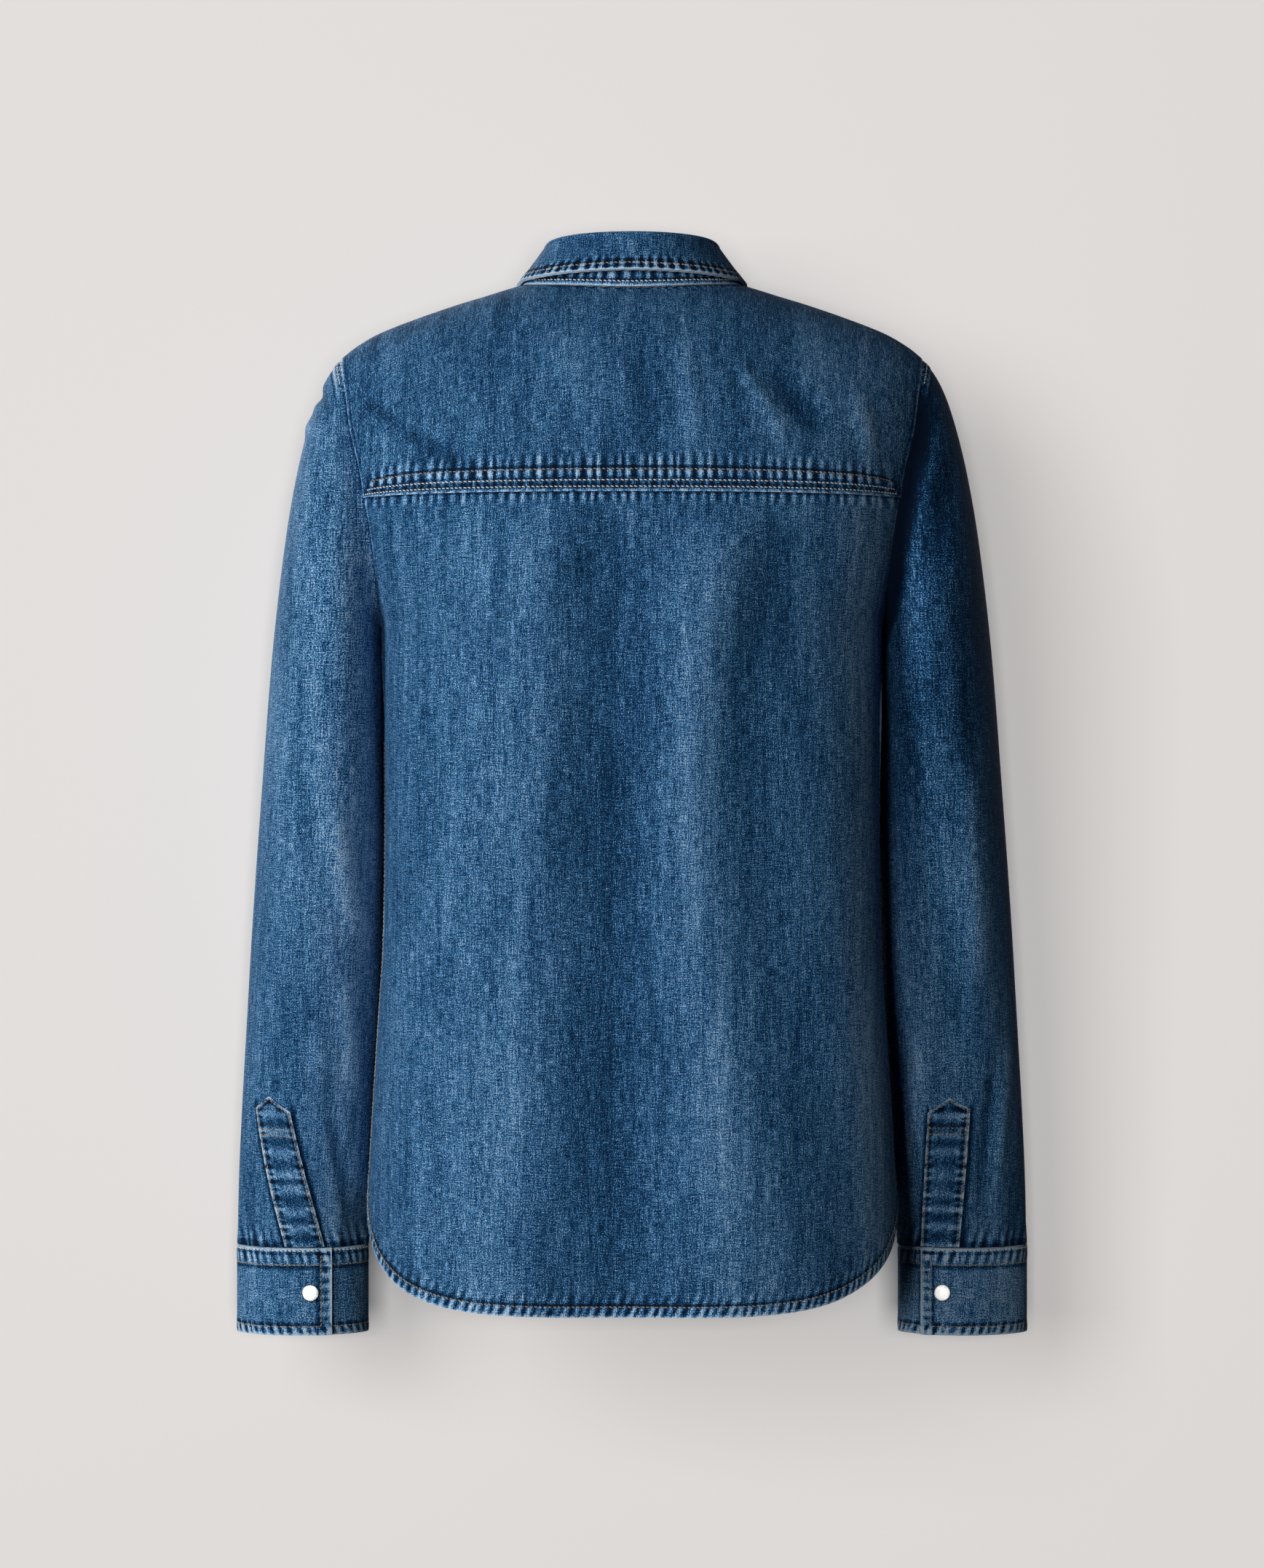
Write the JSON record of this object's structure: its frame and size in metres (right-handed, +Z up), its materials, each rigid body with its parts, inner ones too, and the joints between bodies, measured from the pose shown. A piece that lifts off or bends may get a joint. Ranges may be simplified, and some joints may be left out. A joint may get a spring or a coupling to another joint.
{
  "type": "denim shirt",
  "caption": "Long-sleeved denim shirt, filled out as worn, with a yoke, pointed collar, shirt-tail hem, tower plackets and pearl snaps.",
  "frame": {"origin": "middle of the neck opening, level with the highest points of the shoulders, where a wearer's neck and shoulders hold the shirt up", "axes": "+Z up, the wearer faces -Y, +X is the wearer's left"},
  "size_m": [0.5098, 0.2391, 0.6974],
  "materials": {
    "denim": "washed mid-blue denim, matt",
    "pearl_snap": "pearl cap, glossy"
  },
  "bodies": {
    "root": {"back_yoke": "denim", "back_panel": "denim", "front_left": "denim", "front_right": "denim", "front_placket": "denim", "collar_stand": "denim", "collar_leaf": "denim", "sleeve_left": "denim", "sleeve_right": "denim", "sleeve_placket_left": "denim", "sleeve_placket_right": "denim", "cuff_left": "denim", "cuff_right": "denim", "snap_cuff_left": "pearl_snap", "snap_cuff_right": "pearl_snap", "snap_collar": "pearl_snap", "snap_front_1": "pearl_snap", "snap_front_2": "pearl_snap", "snap_front_3": "pearl_snap", "snap_front_4": "pearl_snap", "snap_front_5": "pearl_snap", "snap_front_6": "pearl_snap"}
  },
  "joints": []
}
